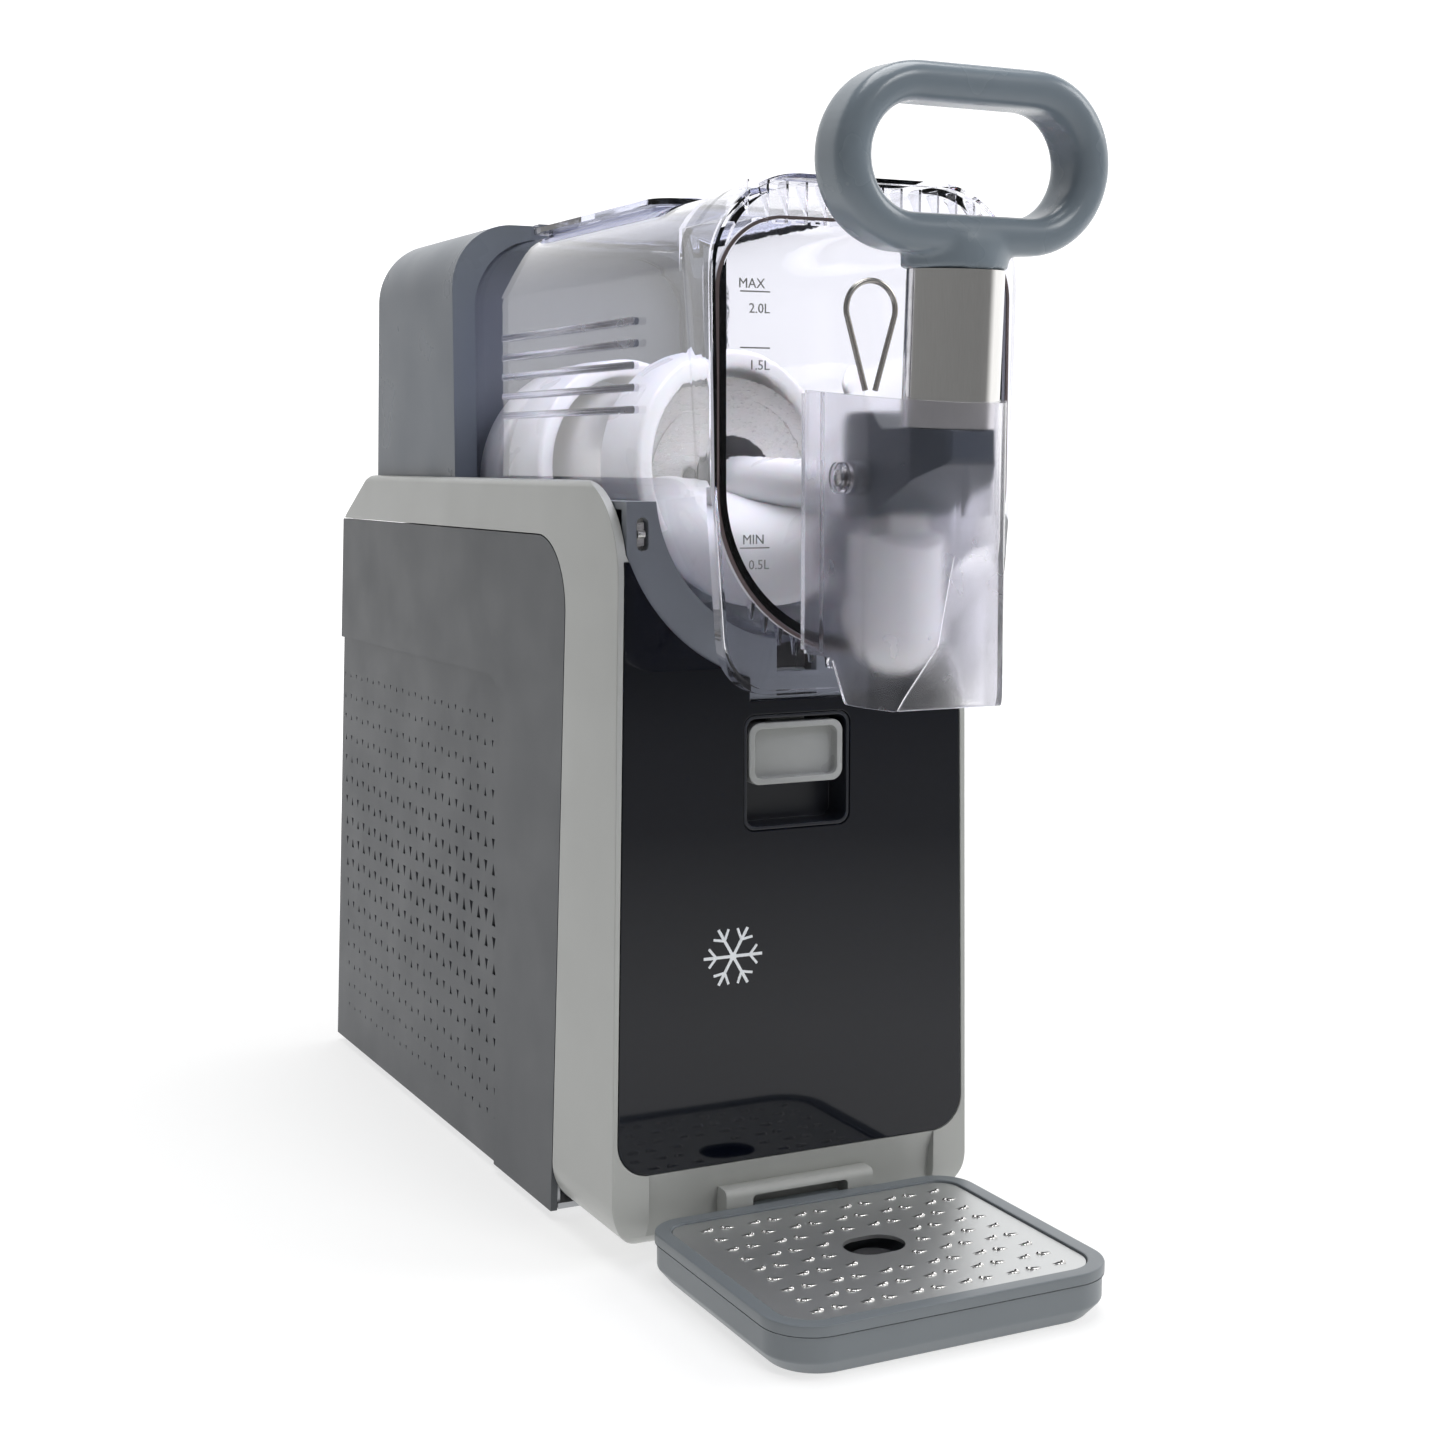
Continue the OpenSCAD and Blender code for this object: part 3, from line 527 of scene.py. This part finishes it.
def band_section(bm, inner, outer, back, front, turned):
    """Rounded outline of the ribbon, radial by lengthwise, turned about the axis from the top"""
    made = bmesh.ops.create_grid(bm, x_segments=1, y_segments=1, size=0.5)["verts"]
    bmesh.ops.scale(bm, vec=((back - front) * MM, (outer - inner) * MM, 1), verts=made)
    bmesh.ops.bevel(bm, geom=made, offset=2.2 * MM, segments=3, profile=0.5, affect="VERTICES",
        material=-1, clamp_overlap=True)
    verts = bm.verts[:]
    bmesh.ops.delete(bm, geom=bm.faces[:], context="FACES_ONLY")
    bmesh.ops.rotate(bm, cent=(0, 0, 0), matrix=Matrix.Rotation(radians(90), 3, "X"), verts=verts)
    bmesh.ops.rotate(bm, cent=(0, 0, 0), matrix=Matrix.Rotation(radians(90), 3, "Z"), verts=verts)
    middle = (0, FACE + (back + front) / 2 * MM, AXIS.z + (inner + outer) / 2 * MM)
    bmesh.ops.translate(bm, vec=middle, verts=verts)
    bmesh.ops.rotate(bm, cent=AXIS, matrix=around_axis(turned), verts=verts)


def auger_ribbon():
    """Rear ring and the ribbon that winds forward round the drum"""
    bm = bmesh.new()
    band_section(bm, BAND_INNER, 55, 214, 189, 0)
    bmesh.ops.spin(bm, geom=bm.edges[:], cent=AXIS, axis=(0, 1, 0), angle=2 * pi, steps=96, use_merge=True)
    ribbon = bmesh.new()
    band_section(ribbon, BAND_INNER, BAND_OUTER, 204, 166, 0)
    first = ribbon.verts[:]
    steps = 130
    bmesh.ops.rotate(ribbon, cent=AXIS, matrix=around_axis(375), verts=first)
    ends = bmesh.ops.spin(ribbon, geom=ribbon.edges[:], cent=AXIS, axis=(0, 1, 0), angle=-radians(BAND_TURN),
        dvec=(0, -BAND_TURN / 360 * BAND_PITCH * MM / steps, 0), steps=steps)["geom_last"]
    bmesh.ops.contextual_create(ribbon, geom=[g for g in ends if isinstance(g, bmesh.types.BMEdge)])
    bmesh.ops.contextual_create(ribbon, geom=[e for e in ribbon.edges if e.is_boundary])
    bmesh.ops.recalc_face_normals(ribbon, faces=ribbon.faces)
    joined = bpy.data.meshes.new("ribbon")
    ribbon.to_mesh(joined)
    ribbon.free()
    bmesh.ops.recalc_face_normals(bm, faces=bm.faces)
    bm.from_mesh(joined)
    bpy.data.meshes.remove(joined)
    piece = piece_from(bm, "auger_ribbon_wound", "auger", "white_plastic", angle=50)
    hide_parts("auger_ribbon")


def auger_blade(bm, start):
    """One curved paddle from the drum's end to the front nut"""
    inner, outer, spokes = 9.0, 55.4, 8
    root, length, steps = 58, 91, 12
    chain = []
    for step in range(spokes + 1):
        share = step / spokes
        reach = inner + (outer - inner) * share
        bow = 9 * sin(pi * share)
        chain.append(bm.verts.new((bow * MM, FACE + root * MM, AXIS.z + reach * MM)))
    edges = [bm.edges.new(pair) for pair in zip(chain, chain[1:])]
    bmesh.ops.rotate(bm, cent=AXIS, matrix=around_axis(start), verts=chain)
    bmesh.ops.spin(bm, geom=edges, cent=AXIS, axis=(0, 1, 0), angle=radians(-78),
        dvec=(0, -length * MM / steps, 0), steps=steps)


def auger_blades():
    """Two paddles and the hub between them"""
    bm = bmesh.new()
    for start in (262, 82):
        auger_blade(bm, start)
    for vert in bm.verts:
        ahead = (FACE - vert.co.y) / MM + 10
        if ahead > 0:
            away = vert.co - Vector((0, vert.co.y, AXIS.z))
            trim = 1 - 0.30 * (ahead / 43) ** 2
            vert.co = Vector((0, vert.co.y, AXIS.z)) + away * trim
    hole_place = Vector((-12 * MM, FACE + 2 * MM, 340 * MM))
    hole = min(bm.faces, key=lambda f: (f.calc_center_median() - hole_place).length)
    bmesh.ops.delete(bm, geom=[hole], context="FACES_ONLY")
    bmesh.ops.recalc_face_normals(bm, faces=bm.faces)
    bmesh.ops.solidify(bm, geom=bm.faces[:], thickness=3.6 * MM)
    piece = piece_from(bm, "auger_paddles", "auger", "white_plastic", angle=180)
    rounded = piece.modifiers.new("rounded", "SUBSURF")
    rounded.levels = 2
    rounded.render_levels = 2
    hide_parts("auger_blades")
    hub = bmesh.new()
    made = bmesh.ops.create_cone(hub, cap_ends=True, segments=40, radius1=11.5 * MM, radius2=9.5 * MM,
        depth=91 * MM)["verts"]
    bmesh.ops.rotate(hub, cent=(0, 0, 0), matrix=Matrix.Rotation(radians(90), 3, "X"), verts=made)
    bmesh.ops.translate(hub, vec=(0, FACE + 10 * MM, AXIS.z), verts=made)
    round_edges(hub, 1.5 * MM, 3)
    piece_from(hub, "auger_hub", "auger", "white_plastic")


# ---- tank details ----

def wall_ribs():
    """Five flat ribs along the tank's left wall, round at their front ends"""
    bm = bmesh.new()
    for height in (338.4, 347.0, 355.6, 364.2, 372.8):
        block(bm, (-60.5, 24, height - 1.5), (-60.05, 170, height + 1.5))
    ends = [e for e in bm.edges if abs(e.verts[0].co.y - e.verts[1].co.y) < 1e-6
        and abs(e.verts[0].co.z - e.verts[1].co.z) < 1e-6]
    bmesh.ops.bevel(bm, geom=ends, offset=1.5 * MM, segments=5, profile=0.5, affect="EDGES", material=-1,
        clamp_overlap=True)
    round_edges(bm, 0.2 * MM, 2)
    piece_from(bm, "tank_wall_ribs", "tank", "clear_tank", "frosted")


def flange_fins():
    """Thin fins that stiffen the flange above the cap"""
    bm = bmesh.new()
    for step in range(13):
        x = -48 + 8 * step
        fin = block(bm, (x - 0.5, -49.8, 406.2), (x + 0.5, -42, 419))
        foot = [v for v in fin if v.co.z < 407 * MM and v.co.y > FACE - 46 * MM]
        bmesh.ops.translate(bm, vec=(0, 0, 11 * MM), verts=foot)
    piece_from(bm, "flange_fins", "tank", "clear_tank", angle=20)


def cap_tabs():
    """Row of small tabs along the cap's top edge"""
    bm = bmesh.new()
    for step in range(12):
        x = -44 + 8 * step
        block(bm, (x - 2.6, -53.4, 403.6), (x + 2.6, -49.6, 405.2))
    round_edges(bm, 0.25 * MM, 1)
    piece_from(bm, "cap_tabs", "tank", "clear_tank")


def drain_comb():
    """Small teeth that hang in an arc under the cap"""
    radius = 62.5
    bm = bmesh.new()
    for step in range(13):
        angle = radians(222 + 7 * step)
        x = radius * cos(angle)
        z = AXIS.z / MM + radius * sin(angle)
        tooth = block(bm, (x - 1.0, -51.5, z - 6.5), (x + 1.0, -47.5, z + 1))
        tip = [v for v in tooth if v.co.z < (z - 5) * MM]
        about = Matrix.Translation((-x * MM, 49.5 * MM - FACE, 0))
        bmesh.ops.scale(bm, vec=(0.3, 0.6, 1), space=about, verts=tip)
    piece_from(bm, "drain_comb", "tank", "clear_tank", angle=20)


def gasket_lip(bm):
    """Only the gasket's front lip shows, so its back edge stops short inside the clear rim"""
    middle = min(v.co.y for v in bm.verts) + 1.5 * MM
    back = [v for v in bm.verts if v.co.y > middle]
    bmesh.ops.translate(bm, vec=(0, -2.2 * MM, 0), verts=back)


def gasket_body():
    """Soft body of the gasket behind its dark lip, in a pale finish that paints light into the band seen
    through the clear rim
    """
    bm = merged_copy("front_gasket")
    middle = min(v.co.y for v in bm.verts) + 1.5 * MM
    lip = [v for v in bm.verts if v.co.y < middle]
    bmesh.ops.translate(bm, vec=(0, 0.9 * MM, 0), verts=lip)
    # The body takes the pale finish: painted light in place of the shaded brown of the same gasket
    piece_from(bm, "gasket_body", "tank", "rubber_brown", "painted_light_gasket")


def level_marks():
    """Fill lines and their volumes printed on the cap"""
    rows = ((379, 375.6, "2.0L", 380.2, "MAX"), (359, 355.4, "1.5L", None, None),
        (287, 283.4, "0.5L", 288.4, "MIN"))
    bm = bmesh.new()
    proud = CAP_FACE / MM - FACE / MM
    for line, number_top, number, word_base, word in rows:
        block(bm, (-53, proud - 0.25, line - 0.25), (-41, proud - 0.02, line + 0.25))
        add_words(bm, number, -41.0, number_top - 4.2, proud)
        if word:
            add_words(bm, word, -43.0, word_base, proud)
    piece_from(bm, "level_marks", "tank", "mark_white", "mark_grey", angle=20)


def add_words(bm, words, right, base, proud):
    """Plain block letters that end at a right-hand edge, set on the cap's face"""
    text = bpy.data.curves.new(words, "FONT")
    text.body = words
    text.size = 5.0 * MM
    text.align_x = "RIGHT"
    text.extrude = 0.1 * MM
    text.resolution_u = 2
    holder = bpy.data.objects.new(words, text)
    scene.collection.objects.link(holder)
    mesh = bpy.data.meshes.new_from_object(holder)
    mesh.transform(Matrix.Translation((right * MM, FACE + (proud - 0.1) * MM, base * MM))
        @ Matrix.Rotation(radians(90), 4, "X"))
    bm.from_mesh(mesh)
    bpy.data.objects.remove(holder)
    bpy.data.curves.remove(text)
    bpy.data.meshes.remove(mesh)


def tank_details():
    wall_ribs()
    flange_fins()
    cap_tabs()
    drain_comb()
    level_marks()


# ---- tray details ----

def tray_taper(bm):
    """The tray's lower edge drawn in all round"""
    rise, draw_in_x, draw_in_y = 6 * MM, 10 * MM, 8 * MM
    low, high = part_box("drip_tray")
    middle = (low + high) / 2
    span = high - low
    bmesh.ops.bisect_plane(bm, geom=bm.verts[:] + bm.edges[:] + bm.faces[:], plane_co=(0, 0, low.z + rise),
        plane_no=(0, 0, 1), dist=0.000001)
    foot = [v for v in bm.verts if v.co.z < low.z + 0.3 * MM]
    bmesh.ops.scale(bm, vec=(1 - draw_in_x / span.x, 1 - draw_in_y / span.y, 1), verts=foot,
        space=Matrix.Translation((-middle.x, -middle.y, 0)))


def cover_lips():
    """Polished lips that stand up beside the tray cover's holes: a round head and a thinning tail"""
    left, front, step_x, step_y = -52, -111, 10.4, 11.2
    drain_y, drain_clear = -63.7, 19
    bm = bmesh.new()
    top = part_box("tray_cover")[1].z
    for i in range(11):
        for j in range(9):
            x = left + i * step_x + (j % 2) * 2
            y = front + j * step_y
            if Vector((x, (y - drain_y) * 1.2)).length <= drain_clear:
                continue
            side = -1 if (i + j) % 2 else 1
            level = top - 0.1 * MM
            head = bmesh.ops.create_uvsphere(bm, u_segments=10, v_segments=6, radius=1)["verts"]
            bmesh.ops.scale(bm, vec=(1.1 * MM, 1.3 * MM, 0.9 * MM), verts=head)
            bmesh.ops.translate(bm, vec=((x + side * 2.6) * MM, FACE + y * MM, level), verts=head)
            tail = bmesh.ops.create_cone(bm, cap_ends=True, segments=8, radius1=0.75 * MM,
                radius2=0.25 * MM, depth=4.6 * MM)["verts"]
            turn = Matrix.Rotation(radians(-90 * side), 3, "Y")
            bmesh.ops.rotate(bm, cent=(0, 0, 0), matrix=turn, verts=tail)
            bmesh.ops.translate(bm, vec=((x + side * 0.2) * MM, FACE + (y - 1.3) * MM, level), verts=tail)
    piece_from(bm, "cover_lips", "cover", "steel", "chrome_tube", angle=180)


# ---- stage ----

def studio_bowl():
    """Pale round floor that curves up into a wall all the way round"""
    flat_reach, curve, wall = 2.6, 1.2, 2.4
    bm = bmesh.new()
    outline = [bm.verts.new(place) for place in ((0, 0, 0), (flat_reach, 0, 0))]
    bm.edges.new(outline)
    rise = bmesh.ops.spin(bm, geom=[outline[1]], cent=(flat_reach, 0, curve), axis=(0, 1, 0), angle=-pi / 2,
        steps=12)["geom_last"]
    top = [g for g in rise if isinstance(g, bmesh.types.BMVert)]
    grown = bmesh.ops.extrude_vert_indiv(bm, verts=top)["verts"]
    bmesh.ops.translate(bm, vec=(0, 0, wall), verts=grown)
    bmesh.ops.spin(bm, geom=bm.edges[:], cent=(0, 0, 0), axis=(0, 0, 1), angle=2 * pi, steps=64,
        use_merge=True)
    bmesh.ops.remove_doubles(bm, verts=bm.verts, dist=0.0001)
    mesh = bpy.data.meshes.new("floor")
    bm.to_mesh(mesh)
    bm.free()
    mesh.shade_smooth()
    floor = bpy.data.objects.new("floor", mesh)
    scene.collection.objects.link(floor)
    mesh.materials.append(painted_glow_floor())


# Painted light on the floor: NEAR_GLOW is the emitted pool round the middle, FAR_BRIGHT the far glow towards
# BRIGHT_HEADING, FAR_DIM the far glow elsewhere
NEAR_GLOW = 0.66
FAR_DIM = 0.04
FAR_BRIGHT = 1.0
BRIGHT_HEADING = radians(42)
GLOW_FADES = (0.45, 1.1)
CORNER_FADES = (0.10, 0.42)


def painted_glow_floor():
    """White paper with painted light: its emission glows in a pool round the middle and, farther out, bright
    towards one heading and dim elsewhere, standing in for the bright corner of the room
    """
    material = finish("floor painted glow", (0.38, 0.38, 0.38), 0.9, Specular_IOR_Level=0.0)
    tree = material.node_tree
    coords = tree.nodes.new("ShaderNodeTexCoord")
    flat = tree.nodes.new("ShaderNodeVectorMath")
    flat.operation = "MULTIPLY"
    flat.inputs[1].default_value = (1, 1, 0.25)
    away = tree.nodes.new("ShaderNodeVectorMath")
    away.operation = "LENGTH"
    heading = tree.nodes.new("ShaderNodeVectorMath")
    heading.operation = "NORMALIZE"
    facing = tree.nodes.new("ShaderNodeVectorMath")
    facing.operation = "DOT_PRODUCT"
    facing.inputs[1].default_value = (sin(BRIGHT_HEADING), cos(BRIGHT_HEADING), 0)
    far = tree.nodes.new("ShaderNodeMapRange")
    far.inputs["From Min"].default_value, far.inputs["From Max"].default_value = GLOW_FADES
    bright = tree.nodes.new("ShaderNodeMapRange")
    bright.inputs["From Min"].default_value, bright.inputs["From Max"].default_value = CORNER_FADES
    bright.inputs["To Min"].default_value = FAR_DIM
    bright.inputs["To Max"].default_value = FAR_BRIGHT
    blend = tree.nodes.new("ShaderNodeMix")
    blend.inputs[2].default_value = NEAR_GLOW
    tree.links.new(coords.outputs["Object"], flat.inputs[0])
    tree.links.new(flat.outputs["Vector"], away.inputs[0])
    tree.links.new(flat.outputs["Vector"], heading.inputs[0])
    tree.links.new(heading.outputs["Vector"], facing.inputs[0])
    tree.links.new(away.outputs["Value"], far.inputs["Value"])
    tree.links.new(facing.outputs["Value"], bright.inputs["Value"])
    tree.links.new(far.outputs["Result"], blend.inputs[0])
    tree.links.new(bright.outputs["Result"], blend.inputs[3])
    shader = shader_of(material)
    # The emission paints light on the floor: a pool round the middle and a bright far side towards one
    # heading
    shader.inputs["Emission Color"].default_value = (1, 1, 1, 1)
    tree.links.new(blend.outputs[0], shader.inputs["Emission Strength"])
    return material


def lamp(name, place, aim, size, power):
    """Soft rectangular studio lamp that points at a spot"""
    data = bpy.data.lights.new(name, "AREA")
    data.shape = "RECTANGLE"
    data.size, data.size_y = size
    data.energy = power
    holder = bpy.data.objects.new(name, data)
    scene.collection.objects.link(holder)
    holder.location = place
    holder.rotation_euler = (Vector(aim) - Vector(place)).to_track_quat("-Z", "Y").to_euler()


def light_stage():
    """Soft daylight-white studio"""
    world = bpy.data.worlds.new("studio")
    scene.world = world
    world.use_nodes = True
    world.node_tree.nodes["Background"].inputs["Color"].default_value = (0.93, 0.96, 1.0, 1)
    world.node_tree.nodes["Background"].inputs["Strength"].default_value = 0.15
    lamp("key", (1.7, -0.8, 1.3), (0, -0.05, 0.25), (0.9, 0.9), 11)
    lamp("side", (-1.6, -0.6, 1.1), (0, 0.1, 0.25), (0.5, 1.2), 0.3)
    lamp("overhead", (0.1, 0.1, 2.0), (0, 0, 0.2), (1.4, 1.4), 30)
    lamp("front", (0.5, -1.7, 1.5), (0, -0.1, 0.25), (0.7, 0.5), 9)


def place_camera():
    data = bpy.data.cameras.new("camera")
    data.lens = 53.89
    data.sensor_width = 36
    data.clip_start = 0.02
    camera = bpy.data.objects.new("camera", data)
    scene.collection.objects.link(camera)
    camera.location = (-0.40771, -0.88325, 0.31926)
    camera.rotation_euler = (radians(83.05), 0, radians(-26.29))
    scene.camera = camera
    scene.view_settings.view_transform = "Standard"


place_camera()
light_stage()
studio_bowl()
dress_frame()

SOFT_EDGES = {"trim_shell": 0.45, "front_panel": 0.5, "tank_latch": 0.6, "latch_pocket": 0.5,
    "valve_block": 0.6, "valve_lever": 0.6}
for node, width in SOFT_EDGES.items():
    soften(node, width * MM)
soften("drip_tray", 0.8 * MM, shape=tray_taper)
for node in ("side_panel_left", "side_panel_right"):
    smoothed(node, 20)
SMOOTH_NODES = ("drum_shell", "drum_end", "wire_clip", "handle_tube", "tank_shell", "front_cap", "shroud",
    "rear_column")
for node in SMOOTH_NODES:
    smoothed(node)
smoothed("front_gasket", shape=gasket_lip)
gasket_body()

handle_grip()
auger_ribbon()
auger_blades()
tank_details()
cover_lips()
